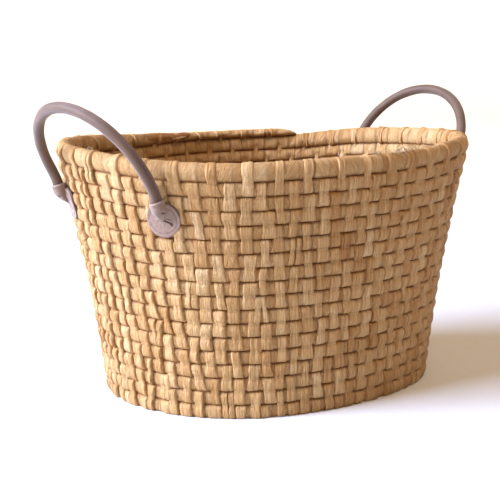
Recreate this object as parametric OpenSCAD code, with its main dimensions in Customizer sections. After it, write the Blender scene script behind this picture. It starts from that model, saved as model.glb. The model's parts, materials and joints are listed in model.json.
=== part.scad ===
// Oval market basket, coiled from palm-leaf bundles, with two rolled leather handles.
// Origin: centre of the flat underside. +X runs along the long axis, +Y to the back, +Z up.
// The coil is one continuous spiral on the real object; here each turn is a closed ring.

/* [Basket] */
// Outer length of the oval at the fullest point of the rim
rim_length = 458; // [420:1:500]
// Outer width of the oval at the fullest point of the rim
rim_width = 334; // [310:1:360]
// Outer length of the oval at the base
base_length = 356; // [330:1:380]
// Outer width of the oval at the base
base_width = 284; // [264:1:300]
// Height of the rim above the table
rim_top = 250; // [220:1:280]
// Bow of the long profile (0 is a straight flare, negative flares late)
length_bow = -0.38; // [-0.6:0.02:0]
// Bow of the short profile
width_bow = -0.45; // [-0.6:0.05:0]

/* [Coils] */
// Number of wall turns below the rim turn
wall_turns = 17; // [17:1:17]
// Number of turns in the base around the starting core
base_turns = 9; // [8:1:10]
// Height of the rim turn
rim_height = 17.1; // [15:0.1:19]
// Thickness of the wall, measured across a turn
coil_thickness = 12; // [10:0.5:13]
// Thickness of the rim turn
rim_thickness = 15; // [13:0.5:16]
// Height of the base turns
base_height = 11.5; // [10:0.5:12]
// End radius of the flat core that the coil starts from
core_radius = 6.6; // [6:0.1:7.5]
// Clearance between neighbouring turns
coil_gap = 0.3; // [0.3:0.05:0.5]
// How much of the underside of the base turns is pressed flat
flat_cut = 0.7; // [0.4:0.1:1]

/* [Handles] */
// Diameter of the rolled leather tube
tube_diameter = 10.6; // [9:0.2:11.4]
// Diameter of the rope core inside the tube
rope_diameter = 7.2; // [6:0.2:7.4]
// Clearance between the rope core and the leather
rope_gap = 0.3; // [0.2:0.05:0.4]
// Lean of the arch away from upright, outwards over the end of the basket
handle_lean = 31; // [29:1:36]
// Length of the straight legs between the bending point and the round part of the arch
leg_length = 16; // [8:0.5:18]
// Position of the lap seam round the tube, from the outside of the arch towards the end
seam_angle = 6; // [0:1:60]
// Diameter of the sewing thread along the lap seam
seam_thread = 0.9; // [0.6:0.1:1]

/* [Leather tabs] */
// Direction of the left front and right back tabs round the end arcs, from the long axis
wide_direction = 34; // [30:1:36]
// Direction of the left back and right front tabs, which sit nearer the middle of the ends
narrow_direction = 19; // [18:1:28]
// Height of the centre of the tabs above the table
tab_height = 195.5; // [190:0.5:198]
// Diameter of the round tabs
tab_diameter = 34; // [30:1:36]
// Thickness of each of the two leather layers
leather = 1.2; // [1:0.1:1.2]
// Height of the sleeve mouth above the centre of the tab
mouth_height = 20; // [18:1:22]
// Height of the bending point of the tube above the sleeve mouth
bend_height = 6; // [6:0.5:8]
// Distance of the stitch line from the edge of the tab
stitch_inset = 3.6; // [3:0.1:4.5]
// Number of stitches round each tab
stitch_count = 21; // [15:1:24]
// Diameter of the tab thread
tab_thread = 1; // [0.6:0.1:1.1]

/* [Hidden] */
$fn = 96;
leaf_colour = "burlywood";
core_colour = "tan";
leather_colour = "rosybrown";
lining_colour = "sienna";
thread_colour = "indianred";
rope_colour = "wheat";

// Hundredths of a millimetre are fine enough for every size of the coil.
function neat(length) = round(length * 100) / 100;

rim_z = rim_top - rim_height / 2;
coil_pitch = neat((rim_top - rim_height) / wall_turns);

// The oval has four arcs: two round the ends, centred at [7 s, 0] and [-7 s, 0], and two flatter
// ones along the sides, centred at [0, -24 s] and [0, 24 s], where s is its spread. The lines
// through neighbouring centres form 7-24-25 triangles, so the arcs meet smoothly when the side
// radius is the end radius plus 25 s. Half its length is then 7 s more than the end radius and
// half its width is s more.
function spread_of(length, width) = neat((length - width) / 12);

// A straight line from base to rim, bowed in between.
function bowed(z, bow) = z / rim_z + bow * (z / rim_z) * (1 - z / rim_z);
function length_at(z) = base_length + (rim_length - base_length) * bowed(z, length_bow);
function width_at(z) = base_width + (rim_width - base_width) * bowed(z, width_bow);
function spread_at(z) = spread_of(length_at(z), width_at(z));
function end_radius_at(z) = neat(width_at(z) / 2) - spread_at(z);

wedge_reach = 40;
base_spread = spread_at(0);
base_radius = end_radius_at(0);
base_pitch = neat((base_radius - coil_thickness - coil_gap - core_radius) / base_turns);

// Leather tabs, and the sleeves that stand on them.
wall_gap = 0.5;
cover_face = wall_gap + 2 * leather;
tube_radius = tube_diameter / 2;
bore_radius = tube_radius + 0.3;
sleeve_radius = bore_radius + leather;
mouth_radius = sleeve_radius + 0.5;
mouth_band = 2;
sleeve_offset = wall_gap + leather + sleeve_radius + 0.1;
bend_z = mouth_height + bend_height;
stitch_radius = tab_diameter / 2 - stitch_inset;
stitch_half_gap = asin((mouth_radius + 1.2) / stitch_radius);
stitch_span = 360 - 2 * stitch_half_gap;

function unit(v) = v / norm(v);
function wall_point(direction, z) = [
    7 * spread_at(z) + end_radius_at(z) * cos(direction),
    end_radius_at(z) * sin(direction),
    z
];
function tab_origin(direction) = wall_point(direction, tab_height);
function tab_up(direction) = unit(wall_point(direction, tab_height + mouth_height) - tab_origin(direction));
function tab_out(direction) =
    let(outward = [cos(direction), sin(direction), 0])
    unit(outward - (outward * tab_up(direction)) * tab_up(direction));

// The handle bends about the line through the two bending points of its tube. The left end is the
// right end turned half round, so both are worked out at the right end, where +Y is the back.
function bend_point(direction) =
    tab_origin(direction) + sleeve_offset * tab_out(direction) + bend_z * tab_up(direction);
back_bend = bend_point(wide_direction);
front_bend = bend_point(-narrow_direction);
bend_middle = (front_bend + back_bend) / 2;
bend_turn = atan2(front_bend.x - back_bend.x, back_bend.y - front_bend.y);
arch_radius = neat(norm(back_bend - front_bend) / 2);

ends = ["left", "right"];
sides = ["front", "back"];

// Cross section of a turn: an upright stadium whose outer face is at x = 0.
module turn_profile(width, height) {
    radius = width / 2;
    translate([-radius, radius]) circle(radius);
    translate([-radius, height - radius]) circle(radius);
    translate([-width, radius]) square([width, height - width]);
}

// Cross section of a base turn: a lying stadium, pressed flat where it meets the table.
module base_profile(width, height) {
    radius = height / 2;
    intersection() {
        translate([0, -flat_cut]) union() {
            translate([-radius, radius]) circle(radius);
            translate([radius - width, radius]) circle(radius);
            translate([radius - width, 0]) square([width - height, height]);
        }
        translate([-width, 0]) square([width, height]);
    }
}

// The space outside an end arc's centre, and the space outside the line between the two centres.
// Neighbouring spaces meet on the line on which their arcs meet.
module end_wedge(spread) {
    translate([0, 0, -rim_top]) linear_extrude(3 * rim_top) polygon([
        [7 * spread, 0],
        [7 * (spread + wedge_reach), -24 * wedge_reach],
        [7 * (spread + wedge_reach), 24 * wedge_reach]
    ]);
}

module side_wedge(spread) {
    translate([0, 0, -rim_top]) linear_extrude(3 * rim_top) polygon([
        [-7 * spread, 0],
        [7 * spread, 0],
        [7 * (spread + wedge_reach), 24 * wedge_reach],
        [-7 * (spread + wedge_reach), 24 * wedge_reach]
    ]);
}

// Sweeps a cross section round the oval: four arcs, each cut from a whole ring.
module oval_turn(spread, end_radius) {
    for (half = [0, 180]) rotate(half) {
        intersection() {
            translate([7 * spread, 0, 0]) rotate_extrude() translate([end_radius, 0]) children();
            end_wedge(spread);
        }
        intersection() {
            translate([0, -24 * spread, 0])
                rotate_extrude()
                translate([end_radius + 25 * spread, 0])
                children();
            side_wedge(spread);
        }
    }
}

// A solid oval plate on the same four arcs.
module oval_plate(spread, end_radius, height) {
    for (half = [0, 180]) rotate(half) {
        intersection() {
            translate([7 * spread, 0, 0]) cylinder(h = height, r = end_radius);
            end_wedge(spread);
        }
        intersection() {
            translate([0, -24 * spread, 0]) cylinder(h = height, r = end_radius + 25 * spread);
            side_wedge(spread);
        }
    }
}

// The start of the coil, doubled back on itself and pressed into a flat oval.
module base_core() {
    color(core_colour) oval_plate(base_spread, core_radius, base_height - flat_cut);
}

// Base turns are counted outwards from the core.
module base_coil(turn) {
    radius = base_radius - coil_thickness - coil_gap - (base_turns - turn) * base_pitch;
    color(leaf_colour) oval_turn(base_spread, radius)
        base_profile(base_pitch - coil_gap, base_height);
}

// Wall turns are counted upwards; the lowest one is pressed flat like the base.
module wall_coil(turn) {
    z = (turn - 0.5) * coil_pitch;
    color(leaf_colour) oval_turn(spread_at(z), end_radius_at(z)) {
        if (turn == 1) intersection() {
            translate([0, -flat_cut]) turn_profile(coil_thickness, coil_pitch - coil_gap + flat_cut);
            translate([-coil_thickness, 0]) square([coil_thickness, coil_pitch]);
        }
        else translate([0, (turn - 1) * coil_pitch]) turn_profile(coil_thickness, coil_pitch - coil_gap);
    }
}

module rim_coil() {
    color(leaf_colour) oval_turn(spread_at(rim_z), end_radius_at(rim_z))
        translate([0, rim_top - rim_height + coil_gap])
        turn_profile(rim_thickness, rim_height - coil_gap);
}

// Places a shape drawn for the right end on the chosen end.
module at_end(end) {
    rotate(end == "left" ? 180 : 0) children();
}

// Tab frame: X out of the wall, Z up along it, origin on the wall at the centre of the tab.
module at_tab(end, side) {
    wide = (end == "left") == (side == "front");
    direction = wide ? wide_direction : -narrow_direction;
    out = tab_out(direction);
    up = tab_up(direction);
    across = cross(up, out);
    origin = tab_origin(direction);
    at_end(end) multmatrix([
        [out.x, across.x, up.x, origin.x],
        [out.y, across.y, up.y, origin.y],
        [out.z, across.z, up.z, origin.z]
    ]) children();
}

module tab_disc(start) {
    translate([start, 0, 0]) rotate([0, 90, 0]) cylinder(h = leather, d = tab_diameter);
}

module tab_backing() {
    color(lining_colour) tab_disc(wall_gap);
}

// A length of thread round the tab, starting at an angle from the top.
module thread_arc(start, sweep, radius) {
    translate([cover_face, 0, 0])
        rotate([0, 90, 0])
        rotate(180 + start)
        rotate_extrude(angle = sweep)
        translate([stitch_radius, 0])
        circle(radius, $fn = 24);
}

module tab_cover() {
    groove = tab_thread / 2 + 0.25;
    color(leather_colour) difference() {
        union() {
            tab_disc(wall_gap + leather);
            translate([sleeve_offset, 0, 0]) {
                sphere(sleeve_radius);
                cylinder(h = mouth_height, r = sleeve_radius);
                translate([0, 0, mouth_height - mouth_band]) cylinder(h = mouth_band, r = mouth_radius);
            }
        }
        translate([sleeve_offset, 0, 1]) cylinder(h = mouth_height, r = bore_radius);
        thread_arc(stitch_half_gap - 1, stitch_span + 2, groove);
    }
}

module tab_stitching() {
    pitch = stitch_span / stitch_count;
    color(thread_colour)
        for (stitch = [0 : stitch_count - 1])
            thread_arc(stitch_half_gap + (stitch + 0.15) * pitch, 0.7 * pitch, tab_thread / 2);
}

// The end of the tube that the sleeve grips; it doesn't move with the arch.
module tube_end() {
    color(leather_colour)
        translate([sleeve_offset, 0, 1.3])
        cylinder(h = bend_z - tube_radius - coil_gap - 1.3, r = tube_radius);
}

// Arch frame: a half ring on two short legs, standing in the YZ plane on the bending line.
module at_arch(end) {
    at_end(end)
        translate(bend_middle)
        rotate([0, 0, bend_turn])
        rotate([0, handle_lean, 0])
        translate([0, 0, leg_length])
        rotate([90, 0, 90])
        children();
}

// Place of the seam thread in the section of the tube, in its skin.
module at_seam() {
    translate(tube_radius * [cos(seam_angle), sin(seam_angle)]) children();
}

module arch_sweep() {
    rotate_extrude(angle = 180) translate([arch_radius, 0]) children();
    for (leg = [0, 1])
        mirror([leg, 0, 0])
        rotate([90, 0, 0])
        linear_extrude(leg_length)
        translate([arch_radius, 0])
        children();
}

module handle_cover(end) {
    color(leather_colour) at_arch(end) arch_sweep() difference() {
        circle(tube_radius);
        circle(rope_diameter / 2 + rope_gap);
        at_seam() circle(seam_thread / 2 + 0.25, $fn = 24);
    }
}

module handle_rope(end) {
    color(rope_colour) at_arch(end) arch_sweep() circle(d = rope_diameter);
}

module handle_thread(end) {
    color(thread_colour) at_arch(end) arch_sweep() at_seam() circle(d = seam_thread, $fn = 24);
}

base_core();
for (turn = [1 : base_turns])
    base_coil(turn);
for (turn = [1 : wall_turns])
    wall_coil(turn);
rim_coil();
for (end = ends) {
    handle_cover(end);
    handle_rope(end);
    handle_thread(end);
    for (side = sides) {
        at_tab(end, side) tab_backing();
        at_tab(end, side) tab_cover();
        at_tab(end, side) tab_stitching();
        at_tab(end, side) tube_end();
    }
}
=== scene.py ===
"""Oval market basket, coiled and stitched from palm leaf, with two rolled leather handles.

Lengths in the making of the pieces are millimetres, like the design's; every mesh is written in
metres. A place on the coil is a number of turns: its whole part is the turn, counted up from the
table, and its fraction is the share of the way round, clockwise from the end of the coil.
"""
import json
import math

import bpy
import numpy as np
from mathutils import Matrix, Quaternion, Vector


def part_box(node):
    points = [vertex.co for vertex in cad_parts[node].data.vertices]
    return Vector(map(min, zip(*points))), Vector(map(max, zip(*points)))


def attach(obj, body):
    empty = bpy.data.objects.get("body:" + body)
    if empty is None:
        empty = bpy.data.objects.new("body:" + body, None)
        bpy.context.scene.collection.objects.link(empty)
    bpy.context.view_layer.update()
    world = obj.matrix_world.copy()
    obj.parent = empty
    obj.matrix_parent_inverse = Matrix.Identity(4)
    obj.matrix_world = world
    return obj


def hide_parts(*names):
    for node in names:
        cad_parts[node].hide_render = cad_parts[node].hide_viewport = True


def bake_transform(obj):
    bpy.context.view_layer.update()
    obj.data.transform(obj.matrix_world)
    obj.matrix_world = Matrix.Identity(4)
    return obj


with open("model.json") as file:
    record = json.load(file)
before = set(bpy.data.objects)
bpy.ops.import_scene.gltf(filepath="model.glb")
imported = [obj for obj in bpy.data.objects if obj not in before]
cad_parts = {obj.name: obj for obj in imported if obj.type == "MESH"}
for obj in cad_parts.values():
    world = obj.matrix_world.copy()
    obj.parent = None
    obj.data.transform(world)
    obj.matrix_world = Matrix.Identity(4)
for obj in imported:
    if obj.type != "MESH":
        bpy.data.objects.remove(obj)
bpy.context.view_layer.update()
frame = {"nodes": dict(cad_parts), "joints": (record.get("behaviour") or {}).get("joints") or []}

MM = 0.001
scene = bpy.context.scene

# ---- the frame's own sizes
WALL_TURNS = sum(1 for name in frame["nodes"] if name.startswith("wall_coil_"))
BASE_TURNS = sum(1 for name in frame["nodes"] if name.startswith("base_coil_"))
TURNS = WALL_TURNS + 1


def node_box(node):
    low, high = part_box(node)
    return np.array(low) / MM, np.array(high) / MM


WALL_NODES = [f"wall_coil_{turn + 1}" for turn in range(WALL_TURNS)] + ["rim_coil"]
wall_boxes = [node_box(node) for node in WALL_NODES]
RIM_TOP = wall_boxes[-1][1][2]
PITCH = (wall_boxes[5][0][2] - wall_boxes[1][0][2]) / 4
RIM_HEIGHT = RIM_TOP - WALL_TURNS * PITCH
LEVELS = [(low[2] + high[2]) / 2 for low, high in wall_boxes]
LENGTHS = [high[0] - low[0] for low, high in wall_boxes]
WIDTHS = [high[1] - low[1] for low, high in wall_boxes]
# Thickness of the wall and of the rim turn, as in the design.
WALL = 12.0
RIM_WALL = 15.0

# ---- how the coil runs
SEAM = 0.127  # where the coil ends at the rim, as a share of the way round from +X
EARLY_CLIMB = 0.5  # how much of each climb to the next course comes in the first step
STRAPS_PER_TURN = 39.5  # the half makes the straps of neighbouring courses alternate
STRAP_PHASE = 0.85
ARC_JOIN = math.atan2(24, 7)  # direction in which an end arc of the oval meets a side arc
FOOT = 0.15  # nothing comes lower than this
BASE_FACE = 1.5  # height of the underside of the base turns, under which the straps lie


def smooth(x):
    x = np.clip(x, 0, 1)
    return x * x * (3 - 2 * x)


def bell(x, middle, spread):
    return np.exp(-((x - middle) / spread) ** 2)


def unit(vector):
    return vector / np.linalg.norm(vector)


def unit_rows(vectors):
    return vectors / np.linalg.norm(vectors, axis=1)[:, None]


def stack(*values):
    """Broadcasts the values to one shape and stacks them along a new last axis."""
    return np.stack(np.broadcast_arrays(*values), -1)


def circle(count):
    """Angles evenly spaced once round."""
    return np.linspace(0, 2 * math.pi, count, endpoint=False)


def oval_length(spread, radius):
    return 4 * (radius * ARC_JOIN + (radius + 25 * spread) * (math.pi / 2 - ARC_JOIN))


def oval(share, spread, radius):
    """Points on the four-arc oval at shares of the way round, anticlockwise from +X."""
    side_radius = radius + 25 * spread
    end_length = radius * ARC_JOIN
    side_length = side_radius * (math.pi / 2 - ARC_JOIN)
    quarter = (share % 1) * 4
    quadrant = np.floor(quarter).astype(int) % 4
    along = quarter - np.floor(quarter)
    along = np.where(quadrant % 2 == 1, 1 - along, along) * (end_length + side_length)
    on_end = along < end_length
    angle = np.where(on_end, along / radius, ARC_JOIN + (along - end_length) / side_radius)
    sign_x = np.where((quadrant == 0) | (quadrant == 3), 1.0, -1.0)
    sign_y = np.where(quadrant < 2, 1.0, -1.0)
    reach = np.where(on_end, radius, side_radius)
    x = sign_x * (np.where(on_end, 7 * spread, 0) + reach * np.cos(angle))
    y = sign_y * (np.where(on_end, 0, -24 * spread) + reach * np.sin(angle))
    return x, y


def size_at(z):
    """Spread and end radius of the wall's oval at a height."""
    length = np.interp(z, LEVELS, LENGTHS)
    width = np.interp(z, LEVELS, WIDTHS)
    below = np.minimum(z - LEVELS[0], 0)
    length = length + below * (LENGTHS[1] - LENGTHS[0]) / PITCH
    width = width + below * (WIDTHS[1] - WIDTHS[0]) / PITCH
    spread = (length - width) / 12
    return spread, width / 2 - spread


def perimeter_at(z):
    return oval_length(*size_at(z))


# The rim isn't level: it rides up at the ends and dips along the front. Share of the way round
# from +X, and rise there.
RISE = [(0.00, 3.5), (0.06, 0.5), (0.13, 0.0), (0.25, 0.0), (0.31, 2.5), (0.37, 6.5), (0.44, 7.5),
        (0.50, 6.0), (0.53, 3.5), (0.58, -1.0), (0.63, -3.0), (0.70, -2.3), (0.76, -2.0),
        (0.81, -0.8), (0.86, 3.5), (0.93, 6.0), (1.00, 3.5)]


def rise(share, z):
    """How far the wall is lifted there; the rise fades towards the foot."""
    nearby = [np.interp((share + step) % 1, *zip(*RISE)) for step in (-0.02, -0.01, 0, 0.01, 0.02)]
    return sum(nearby) / len(nearby) * np.clip(z / RIM_TOP, 0, 2) ** 1.3


def courses_climbed(fraction):
    """How many courses the coil has climbed since the start of its turn, at a fraction of it. It
    climbs in two steps at the back, one before the coil's end and one just before it and after."""
    start = np.where(fraction < 0.5, fraction, fraction - 1)
    early, late = smooth((start + 0.24) / 0.14), smooth((start + 0.02) / 0.095)
    return EARLY_CLIMB * early + (1 - EARLY_CLIMB) * late + (fraction >= 0.5)


def valley(turns):
    """Height of the coil's lower edge at a number of turns; one turn on, that is its upper edge."""
    whole = np.floor(turns)
    courses = whole - 1 + courses_climbed(turns - whole)
    return PITCH * np.clip(courses, 0, WALL_TURNS) + RIM_HEIGHT * np.clip(courses - WALL_TURNS, 0, 1)


def wall_point(turns, shift, drop, out):
    """A point on the wall. turns is the place on the coil, shift a distance sideways along it, drop
    how many courses lower it lies than the coil's upper edge, and out how far it stands out from the
    outer face."""
    whole = np.clip(np.floor(drop), 0, 1 + np.floor(turns))
    high = valley(turns + 1 - whole)
    low = np.where(turns - whole < 0, high - PITCH, valley(np.maximum(turns - whole, 0)))
    level = np.maximum(high + (low - high) * (drop - whole), FOOT)
    share = SEAM - turns - shift / perimeter_at(level)
    spread, radius = size_at(level)
    x, y = oval(share, spread, radius + out)
    return stack(x, y, level + rise(share % 1, level))


CORE_BOX = node_box("base_core")
BASE_TOP = CORE_BOX[1][2]
BASE_SPREAD = (CORE_BOX[1][0] - CORE_BOX[1][1]) / 6
CORE_RADIUS = CORE_BOX[1][1] - BASE_SPREAD
BASE_PITCH = (node_box(f"base_coil_{BASE_TURNS}")[1][1] - node_box("base_coil_1")[1][1]) / (BASE_TURNS - 1)


def base_point(turns, shift, drop, out):
    """The same for the base: drop counts courses inwards, and out faces down."""
    whole = np.clip(np.floor(drop), 0, 1 + np.floor(turns))
    outer = base_valley(turns + 1 - whole)
    inner = np.where(turns - whole < 0, outer - BASE_PITCH, base_valley(np.maximum(turns - whole, 0)))
    radius = np.maximum(outer + (inner - outer) * (drop - whole), 0.5)
    x, y = oval(SEAM - turns - shift / oval_length(BASE_SPREAD, radius), BASE_SPREAD, radius)
    return stack(x, y, np.maximum(BASE_FACE - out, FOOT))


def base_valley(turns):
    whole = np.floor(turns)
    courses = whole - 1 + courses_climbed(turns - whole)
    return CORE_RADIUS + BASE_PITCH * np.clip(courses, 0, BASE_TURNS)


# ---- meshes
def new_piece(name, material, points, faces, leaf=None, tone=None, depth=None):
    """A mesh from points in millimetres. leaf holds two lengths, across and along the leaf."""
    mesh = bpy.data.meshes.new(name)
    points = np.asarray(points, np.float32) * MM
    faces = np.asarray(faces, np.int32)
    mesh.vertices.add(len(points))
    mesh.vertices.foreach_set("co", points.ravel())
    mesh.loops.add(faces.size)
    mesh.loops.foreach_set("vertex_index", faces.ravel())
    mesh.polygons.add(len(faces))
    mesh.polygons.foreach_set("loop_start", np.arange(0, faces.size, faces.shape[1], dtype=np.int32))
    mesh.polygons.foreach_set("use_smooth", np.ones(len(faces), bool))
    mesh.update(calc_edges=True)
    mesh.validate()
    if leaf is not None:
        mesh.attributes.new("leaf", "FLOAT_VECTOR", "POINT").data.foreach_set(
            "vector", np.asarray(leaf, np.float32).ravel())
    # The depth attribute darkens the colour: painted shade in valleys, under strap ends, at strap edges,
    # in slits, creases, holes and rope grooves; it also gives the husk scrap its brown and darkens leather
    # edges.
    for label, values in (("tone", tone), ("depth", depth)):
        if values is not None:
            mesh.attributes.new(label, "FLOAT", "POINT").data.foreach_set(
                "value", np.asarray(values, np.float32).ravel())
    mesh.materials.append(material)
    piece = bpy.data.objects.new(name, mesh)
    scene.collection.objects.link(piece)
    return piece


def grid_faces(rows, columns, around=False):
    """Quads of a grid of points, rows by columns. around joins the last column to the first."""
    row = np.arange(rows - 1)[:, None] * columns
    column = np.arange(columns if around else columns - 1)
    after = (column + 1) % columns
    return stack(row + column, row + after, row + columns + after, row + columns + column).reshape(-1, 4)


class Gather:
    """Collects grids of points into one mesh."""

    def __init__(self):
        self.points, self.faces, self.leaf, self.tone, self.depth = [], [], [], [], []
        self.count = 0

    def add(self, points, leaf, tone, depth, around=False, inward=False):
        faces = grid_faces(*points.shape[:2], around) + self.count
        flat = points.reshape(-1, 3)
        self.points.append(flat)
        self.faces.append(faces[:, ::-1] if inward else faces)
        self.leaf.append(leaf.reshape(-1, 3))
        self.tone.append(np.broadcast_to(tone, points.shape[:-1]).ravel())
        self.depth.append(np.broadcast_to(depth, points.shape[:-1]).ravel())
        self.count += len(flat)

    def piece(self, name, material):
        return new_piece(name, material, np.concatenate(self.points), np.concatenate(self.faces),
                         np.concatenate(self.leaf), np.concatenate(self.tone), np.concatenate(self.depth))


def grid_piece(name, material, *grid):
    """A piece that is one grid of points, joined round."""
    gather = Gather()
    gather.add(*grid, around=True)
    return gather.piece(name, material)


# ---- materials
class Wires:
    """A new material, and short ways to add nodes to it."""

    def __init__(self, name):
        self.material = bpy.data.materials.new(name)
        self.material.use_nodes = True
        self.tree = self.material.node_tree
        self.shader = self.tree.nodes["Principled BSDF"]

    def set(self, name, value):
        self.put(value, self.shader.inputs[name])

    def node(self, kind, **settings):
        made = self.tree.nodes.new(kind)
        for key, value in settings.items():
            setattr(made, key, value)
        return made

    def link(self, source, target):
        self.tree.links.new(source, target)

    def put(self, value, socket):
        if isinstance(value, bpy.types.NodeSocket):
            self.link(value, socket)
        else:
            socket.default_value = value

    def maths(self, operation, a, b=0.0, c=0.0):
        made = self.node("ShaderNodeMath", operation=operation)
        for value, socket in zip((a, b, c), made.inputs):
            self.put(value, socket)
        return made.outputs[0]

    def scaled(self, vector, scale):
        made = self.node("ShaderNodeVectorMath", operation="MULTIPLY")
        self.put(vector, made.inputs[0])
        made.inputs[1].default_value = scale
        return made.outputs[0]

    def noise(self, vector, scale=1.0, detail=3.0, roughness=0.55, distortion=0.0):
        made = self.node("ShaderNodeTexNoise")
        for name, value in (("Vector", vector), ("Scale", scale), ("Detail", detail),
                            ("Roughness", roughness), ("Distortion", distortion)):
            self.put(value, made.inputs[name])
        return made.outputs["Fac"]

    def ramp(self, factor, stops):
        made = self.node("ShaderNodeValToRGB")
        self.put(factor, made.inputs[0])
        points = made.color_ramp.elements
        while len(points) < len(stops):
            points.new(0.5)
        for point, (place, colour) in zip(points, stops):
            point.position = place
            point.color = (*colour, 1)
        return made.outputs[0]

    def mix(self, factor, a, b, blend="MIX"):
        made = self.node("ShaderNodeMix", data_type="RGBA", blend_type=blend)
        self.put(factor, made.inputs[0])
        for value, socket in ((a, made.inputs[6]), (b, made.inputs[7])):
            self.put(value if isinstance(value, bpy.types.NodeSocket) else (*value, 1), socket)
        return made.outputs[2]

    def attribute(self, name, output="Fac"):
        return self.node("ShaderNodeAttribute", attribute_name=name).outputs[output]

    def bump(self, height, distance, strength=1.0, normal=None):
        made = self.node("ShaderNodeBump")
        self.put(height, made.inputs["Height"])
        made.inputs["Distance"].default_value = distance
        made.inputs["Strength"].default_value = strength
        if normal is not None:
            self.link(normal, made.inputs["Normal"])
        return made.outputs[0]


def srgb(red, green, blue):
    """A colour from 0 to 255 as linear light."""
    return tuple(((v / 255 + 0.055) / 1.055) ** 2.4 if v > 10 else v / 255 / 12.92
                 for v in (red, green, blue))


def leaf_material():
    """Dry palm leaf: pale straw with long fibres, tanned here and there, with painted brown shade in the
    valleys, under strap ends and along strap edges.
    """
    w = Wires("palm_leaf")
    leaf = w.attribute("leaf", "Vector")
    tone = w.attribute("tone")
    depth = w.attribute("depth")
    fibres = w.noise(w.scaled(leaf, (0.85, 0.03, 1)), detail=5, roughness=0.7)
    fine = w.noise(w.scaled(leaf, (4.2, 0.09, 1)), detail=2)
    mottle = w.noise(w.scaled(leaf, (0.16, 0.10, 1)), detail=3)
    shade = w.maths("MULTIPLY_ADD", fibres, 1.15, w.maths("MULTIPLY", tone, 0.34))
    shade = w.maths("ADD", shade, w.maths("MULTIPLY", mottle, 0.18))
    shade = w.maths("ADD", shade, w.maths("MULTIPLY_ADD", fine, 0.75, -0.66))
    colour = w.ramp(shade, [
        (0.02, srgb(126, 76, 32)),
        (0.25, srgb(152, 102, 46)),
        (0.48, srgb(177, 134, 78)),
        (0.70, srgb(198, 161, 109)),
        (0.95, srgb(223, 197, 158)),
    ])
    hue = w.noise(w.scaled(leaf, (0, 0, 3.1)), detail=0)
    pinker = w.mix(0.5, colour, srgb(222, 172, 128), "MULTIPLY")
    greener = w.mix(0.5, colour, srgb(214, 196, 132), "MULTIPLY")
    tint = w.mix(w.maths("MULTIPLY_ADD", hue, 2.4, -0.7), pinker, greener)
    colour = w.mix(0.30, colour, tint)
    # Painted shade: depth turns the leaf brown in the valleys, under strap ends and at strap edges; on the
    # husk scrap the brown is its own colour.
    painted_shade_and_husk_brown = w.maths("SMOOTH_MIN", w.maths("MAXIMUM", depth, 0.0), 1.0, 0.1)
    colour = w.mix(w.maths("MULTIPLY", painted_shade_and_husk_brown, 0.85), colour, srgb(124, 68, 24))
    w.set("Base Color", colour)
    w.set("Roughness", w.maths("MULTIPLY_ADD", fibres, 0.3, 0.42))
    w.set("Specular IOR Level", 0.30)
    relief = w.maths("ADD", w.maths("MULTIPLY", fibres, 0.7), w.maths("MULTIPLY", fine, 0.3))
    crumple = w.noise(w.scaled(leaf, (0.55, 0.20, 1)), detail=3, roughness=0.6, distortion=0.6)
    coarse = w.bump(crumple, 0.0026, 0.8)
    w.set("Normal", w.bump(relief, 0.0013, 1.0, coarse))
    return w.material


LEAF = leaf_material()


def leather_material(name, dark, middle, light, edge):
    """Soft matt leather: a fine pebbled grain, cloudy colour, paler where the tone is raised. Where depth
    is set it turns to the edge colour: painted shade in slits, creases and holes, and a darker colour at
    turned edges.
    """
    w = Wires(name)
    place = w.node("ShaderNodeTexCoord").outputs["Object"]
    tone = w.attribute("tone")
    depth = w.attribute("depth")
    cloud = w.noise(w.scaled(place, (55, 55, 55)), detail=4)
    speck = w.noise(w.scaled(place, (900, 900, 900)), detail=2, roughness=0.7)
    shade = w.maths("ADD", w.maths("MULTIPLY", cloud, 0.55), w.maths("MULTIPLY", speck, 0.35))
    shade = w.maths("ADD", shade, w.maths("MULTIPLY_ADD", tone, 0.8, -0.45))
    colour = w.ramp(shade, [(0.15, dark), (0.5, middle), (0.85, light)])
    # Painted shade: depth mixes in the edge colour in slits, creases and holes; at turned edges and the
    # tube's lap it is a darker edge.
    colour = w.mix(w.maths("MINIMUM", depth, 1.0), colour, edge)
    w.set("Base Color", colour)
    w.set("Roughness", w.maths("MULTIPLY_ADD", speck, 0.25, 0.47))
    w.set("Specular IOR Level", 0.35)
    w.set("Sheen Weight", 0.25)
    w.set("Sheen Roughness", 0.5)
    pebble = w.node("ShaderNodeTexVoronoi", feature="SMOOTH_F1")
    w.link(w.scaled(place, (1300, 1300, 1300)), pebble.inputs["Vector"])
    pebble.inputs["Scale"].default_value = 1.0
    fine = w.bump(w.maths("ADD", pebble.outputs["Distance"], speck), 0.00012, 0.6)
    w.set("Normal", w.bump(cloud, 0.0006, 0.5, fine))
    return w.material


def thread_material(name, dark, light, twist):
    """Twisted thread or rope: ridges slanting round it, fuzzy and matt."""
    w = Wires(name)
    leaf = w.attribute("leaf", "Vector")
    depth = w.attribute("depth")
    wave = w.node("ShaderNodeTexWave", bands_direction="DIAGONAL")
    w.link(w.scaled(leaf, twist), wave.inputs["Vector"])
    wave.inputs["Scale"].default_value = 1.0
    wave.inputs["Distortion"].default_value = 1.5
    fuzz = w.noise(w.scaled(leaf, (9, 9, 9)), detail=3)
    shade = w.maths("ADD", w.maths("MULTIPLY", wave.outputs["Fac"], 0.6), w.maths("MULTIPLY", fuzz, 0.4))
    colour = w.ramp(shade, [(0.1, dark), (0.8, light)])
    # Painted shade: depth darkens the colour in the grooves between the rope's strands.
    colour = w.mix(w.maths("MULTIPLY", depth, 0.5), colour, dark)
    w.set("Base Color", colour)
    w.set("Roughness", w.maths("MULTIPLY_ADD", fuzz, 0.2, 0.6))
    w.set("Sheen Weight", 0.2)
    w.set("Normal", w.bump(shade, 0.0002, 0.8))
    return w.material


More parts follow.
